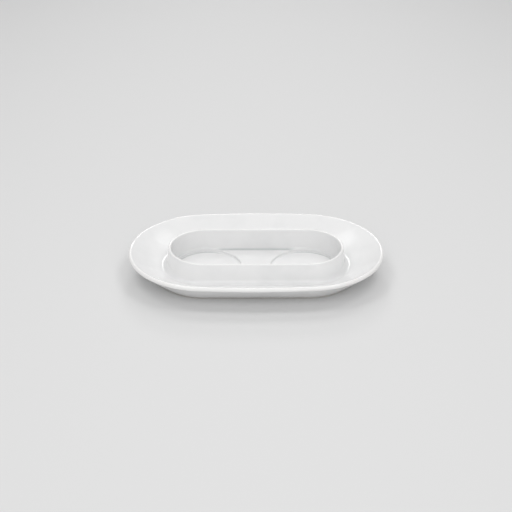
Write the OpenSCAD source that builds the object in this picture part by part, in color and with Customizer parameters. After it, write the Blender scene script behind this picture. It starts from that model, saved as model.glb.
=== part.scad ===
// Oval porcelain saucer: a dished border round an upright collar, and inside the collar a floor
// with two round seats. It is one fired piece, drawn here as the sections of its wall, which meet
// face to face. Millimetres. The long axis is X, the front is -Y, and the standing plane is Z = 0.

/* [Outline] */
// Length over the rim
overall_l = 240; // [225:1:280]
// Width over the rim
overall_w = 150; // [140:1:160]
// How far the long sides of the rim bow out in the middle
side_bow = 2; // [0.5:0.25:4]
// Height of the rim above the table
rim_h = 25.5; // [23:0.5:30]

/* [Border] */
// Thickness of the rounded edge of the rim
lip_d = 4; // [3:0.1:5]
// Radius of the hollow of the border
dish_r = 150; // [90:5:400]
// Height of the lowest line of the trough at the foot of the collar
trough_h = 10; // [8:0.25:13]

/* [Collar] */
// Height of the collar above the table
collar_h = 28.5; // [25:0.5:34]
// Thickness of the collar at its rounded edge
collar_wall = 2.6; // [2:0.1:4]
// Slope of the collar's inner face from upright
inner_draft = 1; // [0.5:0.25:4]
// Slope of the collar's outer face from upright
outer_draft = 5; // [1:0.25:8]
// Radius where the outside of the collar runs into the trough
root_fillet = 4.3; // [3:0.1:6]

/* [Well] */
// Diameter of each round seat
seat_d = 64.6; // [58:0.2:68]
// How far the middle of a seat stands in from the middle of the collar's round end
seat_inset = 1; // [0:0.25:1.5]
// Ledge between a seat and the collar's long walls at the level of the floor
seat_ledge = 0.3; // [0.2:0.1:1.5]
// Height of the floor between the seats
floor_h = 7; // [5:0.1:8]
// Depth of a seat below the floor
seat_depth = 2.5; // [1.8:0.1:3]
// Radius where the floor runs into the collar's wall
floor_fillet = 2.6; // [2:0.1:4]
// Radius round the bottom of a seat
seat_fillet = 0.9; // [0.6:0.1:2]
// Radius on the upper edge of a seat
seat_edge = 1.5; // [0.4:0.1:1.8]

/* [Foot] */
// Width of the saucer over its foot ring
foot_w = 95; // [90:0.5:104]
// Width of the standing band
foot_band = 5; // [3:0.25:7]
// Height of the foot ring, which is the depth of the hollow under the base
foot_h = 1.4; // [0.8:0.1:2]
// Radius on the edges of the standing band
foot_edge = 0.5; // [0.2:0.1:0.8]
// Height of the groove that hollows the base out below the trough
groove_h = 5; // [3:0.25:6]

/* [Hidden] */
$fn = 144;
// How far the straight lengths that an arc of a section is drawn with may stand off it
arc_gap = 0.015;
// Flats that the border is drawn with round each end, and along each long side
end_steps = 48;
side_steps = 10;
// Straight lengths that each half of the groove's arch is drawn with
arch_steps = 6;
// How far a cut runs past the face that it opens
cut_past = 1;

// The oval has a straight spine between the middles of its two round ends, and each section stands at
// its own distance from it all round. The rim alone is an oval of four arcs: round ends about the ends
// of the spine, and long flat arcs that touch them and bow the sides out.
half_straight = (overall_l - overall_w) / 2 + side_bow;
end_r = overall_w / 2 - side_bow;
side_r = (half_straight ^ 2 + (overall_w / 2) ^ 2 - end_r ^ 2) / (2 * side_bow);
side_centre = side_r - overall_w / 2;
end_turn = atan2(side_centre, half_straight);

// Collar: a rounded edge on a wall that thickens downwards.
seat_r = seat_d / 2;
edge_r = collar_wall / 2;
inner_r = seat_r + seat_ledge;
edge_centre = [
  inner_r + edge_r / cos(inner_draft) + (collar_h - edge_r - floor_h) * tan(inner_draft),
  collar_h - edge_r
];
inner_fillet_centre = [
  inner_r - floor_fillet / cos(inner_draft) + floor_fillet * tan(inner_draft),
  floor_h + floor_fillet
];
trough_centre = [
  edge_centre.x + (edge_r + root_fillet) / cos(outer_draft)
    + (edge_centre.y - trough_h - root_fillet) * tan(outer_draft),
  trough_h + root_fillet
];

// Border: the dish touches the circle of the trough from inside and the circle of the lip from outside.
lip_r = lip_d / 2;
lip_centre = [end_r - lip_r, rim_h - lip_r];
dish_centre = meeting(trough_centre, dish_r - root_fillet, lip_centre, dish_r + lip_r);
trough_end = bearing(dish_centre, trough_centre) + 360;
dish_end = bearing(dish_centre, lip_centre) + 360;

// Underside: straight from the foot ring to the lip.
foot_corner = [foot_w / 2, 0];
foot_inner_r = foot_corner.x - foot_band;
under_slope = bearing(foot_corner, lip_centre) - asin(lip_r / norm(lip_centre - foot_corner));

// Joints between the sections, each where the upper face is level.
border_joint_r = trough_centre.x;
foot_joint_r = under_r(foot_h);
groove_half_w = (foot_joint_r - border_joint_r) / 3;
floor_joint_r = inner_fillet_centre.x;
seat_x = half_straight - seat_inset;
seat_h = floor_h - seat_depth;
seat_fillet_r = min(seat_fillet, seat_depth / 2);
seat_edge_r = min(seat_edge, seat_depth - seat_fillet_r);
seat_joint_r = seat_r - seat_fillet_r;

// Section of the border, from the foot over the groove to the collar, then over the dish and round the lip.
// The flats of its inner face touch the round face of the collar in their middles.
border_inner_r = border_joint_r / cos(90 / end_steps);
border = concat(
  [[foot_joint_r, foot_h]],
  arch(border_inner_r, 0, 90),
  [[border_inner_r, trough_h]],
  arc(trough_centre, root_fillet, 270, trough_end, 1),
  arc(dish_centre, dish_r, trough_end, dish_end, 1),
  arc(lip_centre, lip_r, dish_end - 180, under_slope - 90, 1)
);

// Places round the border: where each section stands on the spine, and the way that it faces. Half the
// way round goes over the right end and the back, and the other half is the same turned about.
half_round = concat(
  [for (i = [0:end_steps - 1]) [half_straight, -90 + 180 * i / end_steps]],
  [for (i = [0:side_steps - 1]) [half_straight * (1 - 2 * i / side_steps), 90]]
);
places = concat(half_round, [for (place = half_round) [-place[0], place[1] + 180]]);

// Direction from one point to another, in degrees
function bearing(from, to) = atan2(to.y - from.y, to.x - from.x);

// Points of an arc, which leaves out the first where another arc has ended there
function arc(centre, r, from, to, first = 0) =
  let (steps = ceil(abs(to - from) / (2 * acos(1 - arc_gap / r))))
  [for (i = [first:steps]) let (t = from + (to - from) * i / steps) centre + r * [cos(t), sin(t)]];

// Points of the groove's arched hollow, which is half an ellipse about the joint of the border
function arch(middle, from, to) =
  [for (i = [0:arch_steps]) let (t = from + (to - from) * i / arch_steps)
    [middle + groove_half_w * cos(t), foot_h + (groove_h - foot_h) * sin(t)]];

// Upper point where two circles cross
function meeting(a, ra, b, rb) =
  let (d = b - a, l = norm(d), t = (ra ^ 2 - rb ^ 2 + l ^ 2) / (2 * l))
  a + d / l * t + sqrt(ra ^ 2 - t ^ 2) * [-d.y, d.x] / l;

// Radius of the underside at a height
function under_r(h) = foot_corner.x + h / tan(under_slope);

// Share of the bow that a point of the border takes: none at the foot, all of it at the lip
function bow_share(r) = min(max((r - foot_joint_r) / (lip_centre.x - lip_r - foot_joint_r), 0), 1);

// How far the rim bows out at a place: not at all round the ends, up to where the long arcs touch them
function bow(place) =
  let (out = abs(sin(place[1])), along = place[0] * cos(place[1]) + side_centre * out)
  out < sin(end_turn) ? 0 : sqrt(along ^ 2 + side_r ^ 2 - place[0] ^ 2 - side_centre ^ 2) - along - end_r;

// A point of the border's section, set out from the spine at a place
function set_out(place, p) =
  let (r = p.x + bow(place) * bow_share(p.x))
  [place[0] + r * cos(place[1]), r * sin(place[1]), p.y];

// Sweeps a section, drawn with its radius along X, round the oval.
module around_oval() {
  for (turn = [0, 180]) rotate(turn) {
    translate([half_straight, 0, 0])
      rotate_extrude(angle = 180, start = -90) children();
    translate([-half_straight, 0, 0])
      rotate([90, 0, 90]) linear_extrude(2 * half_straight) children();
  }
}

module collar_section() {
  polygon(concat(
    [[floor_joint_r, foot_h]],
    arc(inner_fillet_centre, floor_fillet, 270, 360 - inner_draft),
    arc(edge_centre, edge_r, 180 - inner_draft, outer_draft),
    arc(trough_centre, root_fillet, 180 + outer_draft, 270),
    arch(border_joint_r, 90, 180)
  ));
}

module foot_section() {
  outer = foot_corner + foot_edge * [-tan(under_slope / 2), 1];
  inner = [foot_inner_r + foot_edge, foot_edge];
  polygon(concat(
    [[foot_inner_r, foot_h]],
    arc(inner, foot_edge, 180, 270),
    arc(outer, foot_edge, 270, 270 + under_slope),
    [[foot_joint_r, foot_h]]
  ));
}

// Hollow of a seat and the disc below it
module seat_cut() {
  rotate_extrude()
    polygon(concat(
      [[0, foot_h - cut_past], [seat_joint_r, foot_h - cut_past]],
      arc([seat_joint_r, seat_h + seat_fillet_r], seat_fillet_r, 270, 360),
      [[seat_r, floor_h + floor_fillet], [0, floor_h + floor_fillet]]
    ));
}

// Ring that rounds the upper edge of a seat
module seat_edge_cut() {
  centre = [seat_r + seat_edge_r, floor_h - seat_edge_r];
  rotate_extrude()
    polygon(concat(
      arc(centre, seat_edge_r, 180, 90),
      [[centre.x, floor_h + cut_past]],
      [[seat_r - cut_past, floor_h + cut_past], [seat_r - cut_past, centre.y]]
    ));
}

// Sets a shape down on both sides of the middle, at a distance along the spine.
module both_sides(x) {
  for (side = [-1, 1]) translate([side * x, 0, 0]) children();
}

// A closed skin over the border's section at each place, two triangles to each side of the section
module flange() {
  n = len(border);
  all = n * len(places);
  color("whitesmoke") polyhedron(
    points = [for (place = places, p = border) set_out(place, p)],
    faces = [
      for (i = [0:n:all - 1], j = [0:n - 1])
        let (a = i + j, b = i + (j + 1) % n, c = (b + n) % all, d = (a + n) % all)
        each [[a, d, c], [a, c, b]]
    ]
  );
}

module collar() {
  color("white") difference() {
    around_oval() collar_section();
    both_sides(seat_x) seat_cut();
  }
}

module bridge() {
  color("ghostwhite") difference() {
    translate([0, 0, foot_h]) linear_extrude(floor_h - foot_h) {
      square([2 * half_straight, 2 * floor_joint_r], center = true);
      both_sides(half_straight) circle(floor_joint_r);
    }
    both_sides(seat_x) {
      seat_cut();
      seat_edge_cut();
    }
  }
}

module seat(side) {
  color("snow") translate([side * seat_x, 0, foot_h])
    cylinder(r = seat_joint_r, h = seat_h - foot_h);
}

module left_seat() {
  seat(-1);
}

module right_seat() {
  seat(1);
}

module foot_ring() {
  color("linen") around_oval() foot_section();
}

flange();
collar();
bridge();
left_seat();
right_seat();
foot_ring();
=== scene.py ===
from math import asin, atan2, cos, degrees, hypot, pi, radians, sin, sqrt, tan

import bmesh
import bpy
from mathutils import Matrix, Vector


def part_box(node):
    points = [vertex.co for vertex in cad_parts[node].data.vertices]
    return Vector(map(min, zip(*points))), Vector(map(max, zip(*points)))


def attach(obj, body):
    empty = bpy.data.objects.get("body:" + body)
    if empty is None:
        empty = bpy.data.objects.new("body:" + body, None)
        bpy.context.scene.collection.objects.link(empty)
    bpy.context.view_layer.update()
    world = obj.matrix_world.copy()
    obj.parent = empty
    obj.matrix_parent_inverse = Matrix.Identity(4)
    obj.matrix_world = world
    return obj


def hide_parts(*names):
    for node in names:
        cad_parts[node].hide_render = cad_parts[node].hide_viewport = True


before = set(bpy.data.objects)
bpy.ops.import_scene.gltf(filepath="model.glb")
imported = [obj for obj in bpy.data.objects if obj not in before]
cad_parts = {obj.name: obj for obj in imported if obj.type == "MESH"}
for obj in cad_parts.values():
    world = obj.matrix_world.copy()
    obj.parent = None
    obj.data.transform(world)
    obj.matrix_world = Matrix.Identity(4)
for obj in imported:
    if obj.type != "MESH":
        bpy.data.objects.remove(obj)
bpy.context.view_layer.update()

# Flange: the dished border, from the trough at the foot of the collar out to the rounded rim. It is
# one with the rest of the saucer, pressed from white hard porcelain, sponged round at the edge,
# dipped in clear glaze and fired. Sizes are in millimetres, and radii run out from the oval's spine.
MM = 0.001
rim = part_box("flange")[1] / MM
trough_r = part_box("collar")[1].y / MM
half_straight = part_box("collar")[1].x / MM - trough_r
foot_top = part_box("foot_ring")[1].yz / MM
lip_r = 2
dish_r = 150
trough_h = 10
root_fillet = 4.3
groove_h = 5
groove_half_w = (foot_top.x - trough_r) / 3
sweep_step = 2
end_points = 64

# Distances in millimetres within which a point counts as on a seam, as flush and as the same point
NEAR, FLUSH, SAME = 0.01, 0.001, 1e-6

# Depth of the glaze, which while molten thins over edges, gathers in wide hollows and pools in corners. The
# full and pooled depths also carry painted shade: they grey the troughs and corners where shade falls.
THIN, EVEN, FULL_AND_SHADED, POOLED_AND_SHADED = 0.0, 0.5, 0.56, 1.0


def bearing(start, end):
    """Direction from one point of a section to another, in degrees."""
    return degrees(atan2(end.y - start.y, end.x - start.x))


def arc(centre, radius, start, end, depths, steps=16):
    """Points of an arc in a section, with the glaze going from one depth to another along it."""
    points = []
    for step in range(steps + 1):
        share = step / steps
        angle = radians(start + (end - start) * share)
        depth = depths[0] + (depths[1] - depths[0]) * share
        points.append(Vector((centre.x + radius * cos(angle), centre.y + radius * sin(angle), depth)))
    return points


def groove(start, end, steps=12):
    """Points of the arched hollow below the trough, which keeps the base from being too thick to fire."""
    points = []
    for step in range(steps + 1):
        angle = radians(start + (end - start) * step / steps)
        points.append(Vector((trough_r + groove_half_w * cos(angle),
                              foot_top.y + (groove_h - foot_top.y) * sin(angle), EVEN)))
    return points


def chain(*stretches):
    """One section from stretches that may share their end points."""
    points = []
    for stretch in stretches:
        for point in stretch:
            if not points or (point - points[-1]).xy.length > SAME:
                points.append(point)
    return points


def from_spine(point):
    """Distance of a point from the oval's spine, and the level direction away from it."""
    spine_x = max(-half_straight, min(half_straight, point.x))
    level = Vector((point.x - spine_x, point.y, 0))
    return level.length, level.normalized()


# Seen from above the rim is an oval of four arcs: its round ends stand about the ends of the spine, and
# long flat arcs that touch them bow the sides out
end_r = rim.x - half_straight
side_bow = rim.y - end_r
side_r = (half_straight ** 2 + rim.y ** 2 - end_r ** 2) / (2 * side_bow)
side_centre = side_r - rim.y
end_turn = atan2(side_centre, half_straight)


def bow(point):
    """How far the rim bows out in the direction of a point."""
    radius, outward = from_spine(point)
    spine_x = abs(point.x - radius * outward.x)
    if abs(outward.y) < sin(end_turn):
        return 0
    along = spine_x * abs(outward.x) + side_centre * abs(outward.y)
    return sqrt(along ** 2 + side_r ** 2 - spine_x ** 2 - side_centre ** 2) - along - end_r


# The dish touches the circle of the trough from inside and the circle of the lip from outside
lip_centre = Vector((end_r - lip_r, rim.z - lip_r))
trough_centre = Vector((trough_r, trough_h + root_fillet))
across = lip_centre - trough_centre
to_trough, to_lip = dish_r - root_fillet, dish_r + lip_r
along = (to_trough ** 2 - to_lip ** 2 + across.length_squared) / (2 * across.length)
upward = Vector((-across.y, across.x)).normalized() * sqrt(to_trough ** 2 - along ** 2)
dish_centre = trough_centre + across.normalized() * along + upward
trough_end = bearing(dish_centre, trough_centre)
dish_end = bearing(dish_centre, lip_centre)
under_slope = bearing(foot_top, lip_centre) - degrees(asin(lip_r / (lip_centre - foot_top).length))


def linear(hex_colour):
    """An sRGB hex colour as linear RGBA."""
    channels = [int(hex_colour[place:place + 2], 16) / 255 for place in (1, 3, 5)]
    return [c / 12.92 if c <= 0.04045 else ((c + 0.055) / 1.055) ** 2.4 for c in channels] + [1]


def add(tree, kind, inputs=None, **settings):
    """Adds a node with its settings, and gives each input a value or a link from another socket."""
    node = tree.nodes.new(kind)
    for name, value in settings.items():
        setattr(node, name, value)
    for name, value in (inputs or {}).items():
        if isinstance(value, bpy.types.NodeSocket):
            tree.links.new(value, node.inputs[name])
        else:
            node.inputs[name].default_value = value
    return node


def glazed_hard_porcelain():
    """White body under a clear fired glaze: bright and even, with soft-edged reflections that ripple
    a little, a cooler, greyer cast where the glaze pools, which is partly painted shade in the corners, and
    a warmer one where it thins."""
    # The pooled grey is partly painted shade: it darkens the corners and troughs where shade falls
    even_white, pooled_glaze_and_shade_grey, thin_white = "#EDEDED", "#C2C5C5", "#EFEEED"
    cloud_mm, ripple_mm, ripple_height_mm = 28, 7, 0.012
    depth_drift = 0.15
    smoothest, dullest = 0.12, 0.18
    material = bpy.data.materials.new("glazed_hard_porcelain")
    material.use_nodes = True
    tree = material.node_tree
    shader = tree.nodes["Principled BSDF"]
    shader.inputs["IOR"].default_value = 1.5
    place = add(tree, "ShaderNodeTexCoord").outputs["Object"]
    depth = add(tree, "ShaderNodeAttribute", attribute_name="glaze_depth_and_shade").outputs["Fac"]
    cloud = add(tree, "ShaderNodeTexNoise",
                {"Vector": place, "Scale": 1 / (cloud_mm * MM), "Detail": 3}).outputs["Fac"]
    ripple = add(tree, "ShaderNodeTexNoise",
                 {"Vector": place, "Scale": 1 / (ripple_mm * MM), "Detail": 1}).outputs["Fac"]
    drift = add(tree, "ShaderNodeMapRange",
                {"Value": cloud, "To Min": -depth_drift, "To Max": depth_drift}).outputs[0]
    clouded = add(tree, "ShaderNodeMath", {0: depth, 1: drift}, operation="ADD").outputs[0]
    tint = add(tree, "ShaderNodeValToRGB", {"Fac": clouded})
    stops = tint.color_ramp.elements
    stops.new(EVEN)
    for stop, white in zip(stops, (thin_white, even_white, pooled_glaze_and_shade_grey)):
        stop.color = linear(white)
    gloss = add(tree, "ShaderNodeMapRange",
                {"Value": cloud, "To Min": smoothest, "To Max": dullest}).outputs[0]
    bump = add(tree, "ShaderNodeBump", {"Height": ripple, "Distance": ripple_height_mm * MM})
    tree.links.new(tint.outputs["Color"], shader.inputs["Base Color"])
    tree.links.new(gloss, shader.inputs["Roughness"])
    tree.links.new(bump.outputs["Normal"], shader.inputs["Normal"])
    return material


# Sweep of a section round the oval: a rectangle rounded until its ends are half circles, in even steps
sweep = bpy.data.node_groups.new("section_round_oval", "GeometryNodeTree")
sweep_inputs = {}
for label, kind in (("Section", "Geometry"), ("Half straight", "Float"), ("Turn radius", "Float"),
                    ("Step", "Float"), ("Finish", "Material")):
    socket = sweep.interface.new_socket(label, in_out="INPUT", socket_type="NodeSocket" + kind)
    sweep_inputs[label] = socket.identifier
sweep.interface.new_socket("Piece", in_out="OUTPUT", socket_type="NodeSocketGeometry")
given = add(sweep, "NodeGroupInput").outputs
half_length = add(sweep, "ShaderNodeMath",
                  {0: given["Half straight"], 1: given["Turn radius"]}, operation="ADD")
length = add(sweep, "ShaderNodeMath", {0: half_length.outputs[0], 1: 2.0}, operation="MULTIPLY")
width = add(sweep, "ShaderNodeMath", {0: given["Turn radius"], 1: 2.0}, operation="MULTIPLY")
box = add(sweep, "GeometryNodeCurvePrimitiveQuadrilateral",
          {"Width": length.outputs[0], "Height": width.outputs[0]})
oval = add(sweep, "GeometryNodeFilletCurve",
           {"Curve": box.outputs[0], "Count": end_points, "Radius": given["Turn radius"],
            "Limit Radius": True}, mode="POLY")
even = add(sweep, "GeometryNodeResampleCurve", {"Curve": oval.outputs[0], "Length": given["Step"]},
           mode="LENGTH")

# The section stands square to the spine of the oval at each point
point = add(sweep, "GeometryNodeInputPosition").outputs[0]
point_x = add(sweep, "ShaderNodeSeparateXYZ", {0: point}).outputs["X"]
other_end = add(sweep, "ShaderNodeMath", {0: given["Half straight"], 1: -1.0}, operation="MULTIPLY")
spine_x = add(sweep, "ShaderNodeClamp",
              {"Value": point_x, "Min": other_end.outputs[0], "Max": given["Half straight"]})
spine = add(sweep, "ShaderNodeCombineXYZ", {"X": spine_x.outputs[0]})
outward = add(sweep, "ShaderNodeVectorMath", {0: point, 1: spine.outputs[0]}, operation="SUBTRACT")
squared = add(sweep, "ShaderNodeVectorMath", {0: outward.outputs[0]}, operation="NORMALIZE")
reach = add(sweep, "ShaderNodeVectorMath",
            {0: squared.outputs[0], "Scale": given["Turn radius"]}, operation="SCALE")
on_oval = add(sweep, "ShaderNodeVectorMath", {0: spine.outputs[0], 1: reach.outputs[0]}, operation="ADD")
placed = add(sweep, "GeometryNodeSetPosition",
             {"Geometry": even.outputs[0], "Position": on_oval.outputs[0]})
path = add(sweep, "GeometryNodeSetCurveNormal",
           {"Curve": placed.outputs[0], "Normal": squared.outputs[0]}, mode="FREE")
outline = add(sweep, "GeometryNodeMeshToCurve", {0: given["Section"]})
shell = add(sweep, "GeometryNodeCurveToMesh",
            {"Curve": path.outputs[0], "Profile Curve": outline.outputs[0]})
closed = add(sweep, "GeometryNodeMergeByDistance",
             {"Geometry": shell.outputs[0], "Distance": FLUSH * MM})
smooth = add(sweep, "GeometryNodeSetShadeSmooth", {"Geometry": closed.outputs[0]})
real = add(sweep, "GeometryNodeRealizeInstances", {0: smooth.outputs[0]})
finished = add(sweep, "GeometryNodeSetMaterial",
               {"Geometry": real.outputs[0], "Material": given["Finish"]})
add(sweep, "NodeGroupOutput", {0: finished.outputs[0]})


def swept_piece(name, section, finish):
    """A closed section swept round the oval, as a plain mesh."""
    count = len(section)
    drawing = bpy.data.meshes.new(name + "_section")
    drawing.from_pydata([((p.x - end_r) * MM, -p.y * MM, 0) for p in section],
                        [(place, (place + 1) % count) for place in range(count)], [])
    depths = drawing.attributes.new("glaze_depth_and_shade", "FLOAT", "POINT")
    depths.data.foreach_set("value", [p.z for p in section])
    piece = bpy.data.objects.new(name, drawing)
    bpy.context.scene.collection.objects.link(piece)
    maker = piece.modifiers.new("sweep", "NODES")
    maker.node_group = sweep
    maker[sweep_inputs["Half straight"]] = half_straight * MM
    maker[sweep_inputs["Turn radius"]] = end_r * MM
    maker[sweep_inputs["Step"]] = sweep_step * MM
    maker[sweep_inputs["Finish"]] = finish
    made = bpy.data.meshes.new_from_object(piece.evaluated_get(bpy.context.evaluated_depsgraph_get()))
    piece.modifiers.clear()
    piece.data = made
    return piece


def seam_normal(point):
    """Direction the glazed skin faces at a seam between pieces, or None away from the seams."""
    radius, outward = from_spine(point)
    on_trough = abs(radius - trough_r) < NEAR and abs(point.z - trough_h) < NEAR
    on_groove = abs(radius - trough_r) < NEAR and abs(point.z - groove_h) < NEAR
    on_foot = abs(radius - foot_top.x) < NEAR and abs(point.z - foot_top.y) < NEAR
    if on_trough or on_groove:
        return Vector((0, 0, 1 if on_trough else -1))
    if on_foot:
        return outward * sin(radians(under_slope)) - Vector((0, 0, cos(radians(under_slope))))
    return None


def smooth_skin(piece, is_cut, seam):
    """Shades a piece as part of one unbroken skin. Cut faces, inside the wall, stay flat."""
    shape = bmesh.new()
    shape.from_mesh(piece.data)
    bmesh.ops.recalc_face_normals(shape, faces=shape.faces)
    shape.to_mesh(piece.data)
    shape.free()
    faces = piece.data.polygons
    faces.foreach_set("use_smooth", [True] * len(faces))
    corners = [vertex.co / MM for vertex in piece.data.vertices]
    cut = [is_cut([corners[number] for number in face.vertices]) for face in faces]
    skin = [Vector() for _ in corners]
    for face, flat in zip(faces, cut):
        for number in face.vertices:
            skin[number] += Vector() if flat else face.normal * face.area
    for number, corner in enumerate(corners):
        skin[number] = seam(corner) or skin[number].normalized()
    normals = []
    for face, flat in zip(faces, cut):
        normals += [face.normal if flat else skin[number] for number in face.vertices]
    piece.data.normals_split_custom_set(normals)


porcelain = glazed_hard_porcelain()
# The trough at the foot of the collar takes the full glaze depth, which paints a little shade into it
flange = swept_piece("flange", chain(
    arc(trough_centre, root_fillet, -90, trough_end, (FULL_AND_SHADED, EVEN)),
    arc(dish_centre, dish_r, trough_end, dish_end, (EVEN, EVEN)),
    arc(lip_centre, lip_r, dish_end + 180, 90, (EVEN, THIN), steps=4),
    arc(lip_centre, lip_r, 90, 0, (THIN, THIN)),
    arc(lip_centre, lip_r, 0, under_slope - 90, (THIN, EVEN), steps=8),
    [Vector((foot_top.x, foot_top.y, EVEN))],
    groove(0, 90),
), porcelain)

# The border takes none of the bow at the foot and all of it at the lip
for vertex in flange.data.vertices:
    radius, outward = from_spine(vertex.co / MM)
    share = (radius - foot_top.x) / (lip_centre.x - lip_r - foot_top.x)
    vertex.co += outward * bow(vertex.co / MM) * max(0, min(1, share)) * MM


def flange_cut(corners):
    """True for a face where the border meets the collar or the foot ring."""
    on_collar = all(from_spine(corner)[0] < trough_r + NEAR for corner in corners)
    return on_collar or all(corner.z < foot_top.y + NEAR for corner in corners)


smooth_skin(flange, flange_cut, seam_normal)
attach(flange, "root")
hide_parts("flange")

# Collar: the upright oval wall that keeps cups from sliding off, with a rounded edge on top. It grows
# out of the border in one sweep, and its inner foot is cut into by the two round seats of the well.
collar_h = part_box("collar")[1].z / MM
floor_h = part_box("bridge")[1].z / MM
floor_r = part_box("bridge")[1].y / MM
seat_low, seat_high = (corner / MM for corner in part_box("right_seat"))
seat_x = (seat_low.x + seat_high.x) / 2
seat_floor_r = (seat_high.x - seat_low.x) / 2
edge_r = 1.3
inner_draft, outer_draft = 1, 5
floor_fillet = 2.6
seat_fillet, seat_edge = 0.9, 1.5
fillet_rows, corner_steps, end_steps = 16, 24, 56
floor_shares = (0, 0.25, 0.5, 0.75)

# Makes the deepest glaze in the corner of the well come out as pooled, which paints a dark line of shade
# along that corner
pool_and_shade_gain = 1.3

seat_r = seat_floor_r + seat_fillet
fillet_centre = Vector((floor_r, floor_h + floor_fillet))
inner_r = floor_r + floor_fillet / cos(radians(inner_draft)) - floor_fillet * tan(radians(inner_draft))
wall_h = collar_h - edge_r - floor_h
edge_centre_r = inner_r + edge_r / cos(radians(inner_draft)) + wall_h * tan(radians(inner_draft))
edge_centre = Vector((edge_centre_r, collar_h - edge_r))
wall_slope = radians(90 - inner_draft)
halvings, least_slope = 40, 1e-6


def fillet_point(slope, start):
    """Point on the fillet between floor and wall where it has climbed to a slope. Glaze pools low in it,
    and its depth there paints shade along the corner. Beside a seat the fillet only starts at a slope, and
    most of the glaze has run on into the seat."""
    pool_and_shade = pool_and_shade_gain * sin(2 * slope) * cos(slope) * cos(start) ** 2
    depth = EVEN + (POOLED_AND_SHADED - EVEN) * pool_and_shade
    return Vector((floor_r + floor_fillet * sin(slope), fillet_centre.y - floor_fillet * cos(slope), depth))


def seat_reach(slope):
    """How far a seat's rounded edge reaches out from its centre: less far where the fillet is steep."""
    return seat_r + seat_edge * cos(slope) ** 2


def seat_rim(turn):
    """Where the edge of the right seat ends, at an angle from the side that faces the bridge, and the
    slope of the well there. The slope is found by halving."""
    away = Vector((-cos(turn), sin(turn), 0))
    low, high = 0, wall_slope
    for _ in range(halvings):
        slope = (low + high) / 2
        point = Vector((seat_x, 0, 0)) + away * seat_reach(slope)
        if from_spine(point)[0] > fillet_point(slope, slope).x:
            low = slope
        else:
            high = slope
    slope = slope if slope > least_slope else 0
    point = Vector((seat_x, 0, 0)) + away * seat_reach(slope)
    point.z = fillet_point(slope, slope).y
    return point, slope


# The seat's edge leaves the level floor at the bridge's corner and climbs from there to the wall, in
# steps that start small
corner_turn = asin(floor_r / seat_reach(0))
climb = [corner_turn + (pi / 2 - corner_turn) * (step / corner_steps) ** 2 for step in range(corner_steps)]
climb += [pi / 2 + pi / 2 * step / end_steps for step in range(end_steps + 1)]

# The root fillet runs down to the full glaze depth in the trough, which paints a little shade there
wall_rows = chain(
    arc(edge_centre, edge_r, 180 - inner_draft, 90, (EVEN, THIN), steps=12),
    arc(edge_centre, edge_r, 90, outer_draft, (THIN, EVEN), steps=12),
    arc(trough_centre, root_fillet, 180 + outer_draft, 270, (EVEN, FULL_AND_SHADED), steps=32),
)


def collar_column(foot, slope):
    """Points of the collar above a point of its inner edge, over the top, down to the trough, and from
    there below the joint with the border into the groove."""
    radius, outward = from_spine(foot)
    spine = Vector((foot.x, foot.y, 0)) - outward * radius
    rise = (wall_slope - slope) / fillet_rows
    climbed = [fillet_point(slope + rise * row, slope) for row in range(fillet_rows + 1)]
    column = [(foot.x, foot.y, foot.z, climbed[0].z)]
    for p in climbed[1:] + wall_rows + groove(90, 180):
        column.append((spine.x + outward.x * p.x, outward.y * p.x, p.y, p.z))
    return [Vector(point) for point in column]


def well_normal(point):
    """Direction the skin faces on the floor and the fillet of the well and at the outer seams."""
    radius, outward = from_spine(point)
    from_centre = Vector((radius, point.z)) - fillet_centre
    if abs(point.z - floor_h) < FLUSH and radius < floor_r + NEAR:
        return Vector((0, 0, 1))
    if abs(from_centre.length - floor_fillet) < 2 * FLUSH and from_centre.x > 0 > from_centre.y:
        return (Vector((0, 0, -from_centre.y)) - outward * from_centre.x).normalized()
    return seam_normal(point)


def all_round(quarter):
    """Mirrors a list of columns from the back right quarter of the oval into the other three."""
    columns = list(quarter)
    for sides in ((1, -1), (-1, -1), (-1, 1)):
        mirrored = [[Vector((p[0] * sides[0], p[1] * sides[1], p[2], p[3])) for p in column]
                    for column in quarter]
        columns += mirrored if sides == (-1, -1) else mirrored[::-1]
    return columns


def lowered(point):
    """The point below another on the underside of the base."""
    return Vector((point[0], point[1], foot_top.y, EVEN))


def built_piece(name, faces, finish):
    """A mesh from faces given by their corners, merged where they touch."""
    merge_digits = 4
    numbers, corners, polygons = {}, [], []
    for face in faces:
        ring = []
        for corner in face:
            key = tuple(round(value, merge_digits) for value in corner[:3])
            if key not in numbers:
                numbers[key] = len(corners)
                corners.append(corner)
            if numbers[key] not in ring:
                ring.append(numbers[key])
        if len(ring) > 2:
            polygons.append(ring)
    made = bpy.data.meshes.new(name)
    made.from_pydata([corner.xyz * MM for corner in corners], [], polygons)
    depths = made.attributes.new("glaze_depth_and_shade", "FLOAT", "POINT")
    depths.data.foreach_set("value", [corner[3] for corner in corners])
    made.materials.append(finish)
    piece = bpy.data.objects.new(name, made)
    bpy.context.scene.collection.objects.link(piece)
    return piece


def below_skin(corners):
    """True for the underside and for upright faces that go down to it."""
    return min(corner.z for corner in corners) < foot_top.y + NEAR


def collar_cut(corners):
    """True where the collar meets the border, the bridge or a seat, and on the level underside."""
    radii = [from_spine(corner)[0] for corner in corners]
    top = max(corner.z for corner in corners)
    in_groove = min(radii) > trough_r - groove_half_w - NEAR and top < groove_h + NEAR
    on_border = min(radii) > trough_r - NEAR
    return on_border or (below_skin(corners) and not in_groove)


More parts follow.
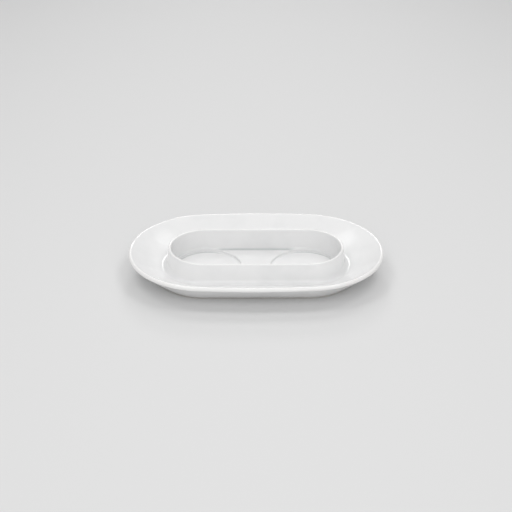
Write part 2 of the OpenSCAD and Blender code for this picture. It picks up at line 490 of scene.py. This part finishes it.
floor_end = seat_x - seat_reach(0) * cos(corner_turn)
quarter = [collar_column(Vector((floor_end * share, floor_r, floor_h)), 0) for share in floor_shares]
quarter += [collar_column(*seat_rim(turn)) for turn in climb]
columns = all_round(quarter)
skin, cuts = [], []
for one, other in zip(columns, columns[1:] + columns[:1]):
    for row in range(len(one) - 1):
        skin.append((one[row], one[row + 1], other[row + 1], other[row]))
    cuts.append((one[0], other[0], lowered(other[0]), lowered(one[0])))
    cuts.append((lowered(one[0]), lowered(other[0]), other[-1], one[-1]))
collar = built_piece("collar", skin + cuts, porcelain)
smooth_skin(collar, collar_cut, well_normal)
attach(collar, "root")
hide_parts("collar")

# Bridge: the level floor of the well between the two seats, where a spoon lies. It is the same
# porcelain, left at full thickness where the press sank the seats to either side of it.
bridge_steps = 28
level_turns = [corner_turn * step / bridge_steps for step in range(-bridge_steps, bridge_steps + 1)]
rows = []
for turn in level_turns:
    end = seat_x - seat_reach(0) * cos(turn)
    rows.append([Vector((side * end, seat_reach(0) * sin(turn), floor_h, EVEN)) for side in (-1, 1)])
skin, cuts = [], []
for one, other in zip(rows, rows[1:]):
    skin.append((one[0], one[1], other[1], other[0]))
    cuts.append([lowered(point) for point in (one[0], one[1], other[1], other[0])])
    for side in (0, 1):
        cuts.append((one[side], other[side], lowered(other[side]), lowered(one[side])))
for row in (rows[0], rows[-1]):
    cuts.append((row[0], row[1], lowered(row[1]), lowered(row[0])))
bridge = built_piece("bridge", skin + cuts, porcelain)
smooth_skin(bridge, below_skin, well_normal)
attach(bridge, "root")
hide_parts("bridge")

# Seats: two round sunken places for the feet of cups, with a small fillet round the bottom and a
# rounded edge on top. They are pressed into the floor and come close to the collar at its round ends.
seat_rings = (0, 0.4, 0.8, 0.94)
edge_steps = 10
seat_bottom = [Vector((seat_floor_r * share, seat_high.z, EVEN)) for share in seat_rings]
seat_fillet_centre = Vector((seat_floor_r, seat_high.z + seat_fillet))


def seat_column(turn):
    """Points of the right seat from its centre out to the end of its rounded edge."""
    rim_point, slope = seat_rim(turn)
    away = Vector((-cos(turn), sin(turn), 0))
    reach, landing = seat_reach(slope), fillet_point(slope, slope)
    rise = tan(slope) * from_spine(rim_point)[1].dot(away)
    crest = Vector((seat_r, landing.y - rise * (reach - seat_r)))
    start = Vector((seat_r, crest.y - hypot(reach - seat_r, landing.y - crest.y)))
    end = Vector((reach, landing.y))
    # The seat's bottom fillet is painted greyer the steeper the well at its edge: partly pooled glaze,
    # partly painted shade in that corner
    foot_depth = FULL_AND_SHADED + (POOLED_AND_SHADED - FULL_AND_SHADED) * sin(slope) ** 2
    foot = arc(seat_fillet_centre, seat_fillet, -90, 0, (foot_depth, EVEN), steps=10)
    edge = []
    for step in range(edge_steps + 1):
        share = step / edge_steps
        bend = start * (1 - share) ** 2 + crest * 2 * share * (1 - share) + end * share ** 2
        edge.append(Vector((bend.x, bend.y, EVEN + (landing.z - EVEN) * share)))
    return [Vector((seat_x + away.x * p.x, away.y * p.x, p.y, p.z)) for p in chain(seat_bottom, foot, edge)]


half_seat = [seat_column(turn) for turn in level_turns[bridge_steps:-1] + climb]
for name, side in (("left_seat", -1), ("right_seat", 1)):
    columns = [[Vector((side * p[0], p[1], p[2], p[3])) for p in column] for column in half_seat]
    columns += [[Vector((p[0], -p[1], p[2], p[3])) for p in column] for column in columns[-2:0:-1]]
    skin, cuts = [], []
    for one, other in zip(columns, columns[1:] + columns[:1]):
        for row in range(len(one) - 1):
            skin.append((one[row], one[row + 1], other[row + 1], other[row]))
        cuts.append((one[-1], other[-1], lowered(other[-1]), lowered(one[-1])))
        cuts.append((lowered(one[0]), lowered(one[-1]), lowered(other[-1])))
    seat = built_piece(name, skin + cuts, porcelain)
    smooth_skin(seat, below_skin, well_normal)
    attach(seat, "root")
    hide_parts(name)

# Foot ring: the low band that the saucer stands on. Its glaze is wiped off before firing, so that it
# doesn't stick to the kiln shelf, and it is ground flat afterwards, which leaves it a matt, warm white.
foot_inner_r = 42.5
foot_edge = 0.5
foot_corner_r = foot_top.x - foot_top.y / tan(radians(under_slope))
inner_edge = Vector((foot_inner_r + foot_edge, foot_edge))
outer_edge = Vector((foot_corner_r - foot_edge * tan(radians(under_slope / 2)), foot_edge))


def bare_ground_porcelain():
    """Fired body without glaze: matt and a little warmer than the glaze, with a fine gritty grain."""
    clean_white, ground_grey = "#E4E1DA", "#CFCBC3"
    grit_mm, grain_height_mm = 0.6, 0.02
    material = bpy.data.materials.new("bare_ground_porcelain")
    material.use_nodes = True
    tree = material.node_tree
    shader = tree.nodes["Principled BSDF"]
    shader.inputs["IOR"].default_value = 1.5
    shader.inputs["Roughness"].default_value = 0.75
    place = add(tree, "ShaderNodeTexCoord").outputs["Object"]
    grit = add(tree, "ShaderNodeTexNoise",
               {"Vector": place, "Scale": 1 / (grit_mm * MM), "Detail": 4}).outputs["Fac"]
    tint = add(tree, "ShaderNodeValToRGB", {"Fac": grit})
    for stop, shade in zip(tint.color_ramp.elements, (ground_grey, clean_white)):
        stop.color = linear(shade)
    bump = add(tree, "ShaderNodeBump", {"Height": grit, "Distance": grain_height_mm * MM})
    tree.links.new(tint.outputs["Color"], shader.inputs["Base Color"])
    tree.links.new(bump.outputs["Normal"], shader.inputs["Normal"])
    return material


foot_ring = swept_piece("foot_ring", chain(
    [Vector((foot_inner_r, foot_top.y, EVEN))],
    arc(inner_edge, foot_edge, 180, 270, (EVEN, EVEN), steps=8),
    arc(outer_edge, foot_edge, 270, 270 + under_slope, (EVEN, EVEN), steps=8),
    [Vector((foot_top.x, foot_top.y, EVEN))],
), bare_ground_porcelain())


def foot_cut(corners):
    """True for a face where the foot ring meets the border or the base."""
    return all(corner.z > foot_top.y - NEAR for corner in corners)


smooth_skin(foot_ring, foot_cut, seam_normal)
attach(foot_ring, "root")
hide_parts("foot_ring")

# Floor: a wide sheet of pale matt card, as in a small product studio. From here on sizes are in metres.
floor_half = 3.0
pale_grey = "#DEDEDE"
card = bpy.data.materials.new("pale_matt_card")
card.use_nodes = True
card_shader = card.node_tree.nodes["Principled BSDF"]
card_shader.inputs["Base Color"].default_value = linear(pale_grey)
card_shader.inputs["Roughness"].default_value = 0.9
card_shader.inputs["Specular IOR Level"].default_value = 0.2
sheet = bpy.data.meshes.new("floor")
sheet.from_pydata([(x * floor_half, y * floor_half, 0) for x, y in ((-1, -1), (1, -1), (1, 1), (-1, 1))],
                  [], [(0, 1, 2, 3)])
sheet.materials.append(card)
floor = bpy.data.objects.new("floor", sheet)
bpy.context.scene.collection.objects.link(floor)

# Light: an even white fill from all round, a pair of soft boxes overhead, wide panels high in front, low
# in front and behind, and a small box behind that draws bright lines along edges and in the end troughs.
scene = bpy.context.scene
scene.view_settings.view_transform = "Standard"
fill_strength = 0.46
scene.world = bpy.data.worlds.new("studio")
scene.world.use_nodes = True
fill = scene.world.node_tree.nodes["Background"]
fill.inputs["Color"].default_value = (1, 1, 1, 1)
fill.inputs["Strength"].default_value = fill_strength


def soft_box(name, place, size, watts):
    """A rectangular lamp that faces the saucer."""
    lamp = bpy.data.lights.new(name, "AREA")
    lamp.shape = "RECTANGLE"
    lamp.size, lamp.size_y = size
    lamp.energy = watts
    lamp_object = bpy.data.objects.new(name, lamp)
    lamp_object.location = place
    lamp_object.rotation_euler = (-Vector(place)).to_track_quat("-Z", "Y").to_euler()
    scene.collection.objects.link(lamp_object)


soft_box("left_overhead_box", (-0.4, -0.12, 1.0), (0.3, 0.3), 1.3)
soft_box("right_overhead_box", (0.4, -0.12, 1.0), (0.3, 0.3), 1.3)
soft_box("front_panel", (0, -1.1, 1.0), (1.4, 0.8), 6.2)
soft_box("low_front_panel", (0, -1.6, 0.35), (2.4, 0.5), 2.6)
soft_box("rear_panel", (0, 0.62, 1.1), (1.2, 0.4), 2.9)
soft_box("rear_box", (0, 1.25, 0.83), (0.32, 0.3), 2.4)

# Camera: a long lens at a table's distance, looking down at the front of the saucer.
camera_distance, camera_height_angle, camera_turn = 1.07, radians(29.077), radians(0.289)
aim = Vector((0, 0, 0.01766))
camera = bpy.data.objects.new("camera", bpy.data.cameras.new("camera"))
camera.data.lens, camera.data.sensor_width = 79.61, 36
camera.location = aim + camera_distance * Vector((
    -sin(camera_turn) * cos(camera_height_angle),
    -cos(camera_turn) * cos(camera_height_angle),
    sin(camera_height_angle)))
camera.rotation_euler = (aim - camera.location).to_track_quat("-Z", "Y").to_euler()
scene.collection.objects.link(camera)
scene.camera = camera
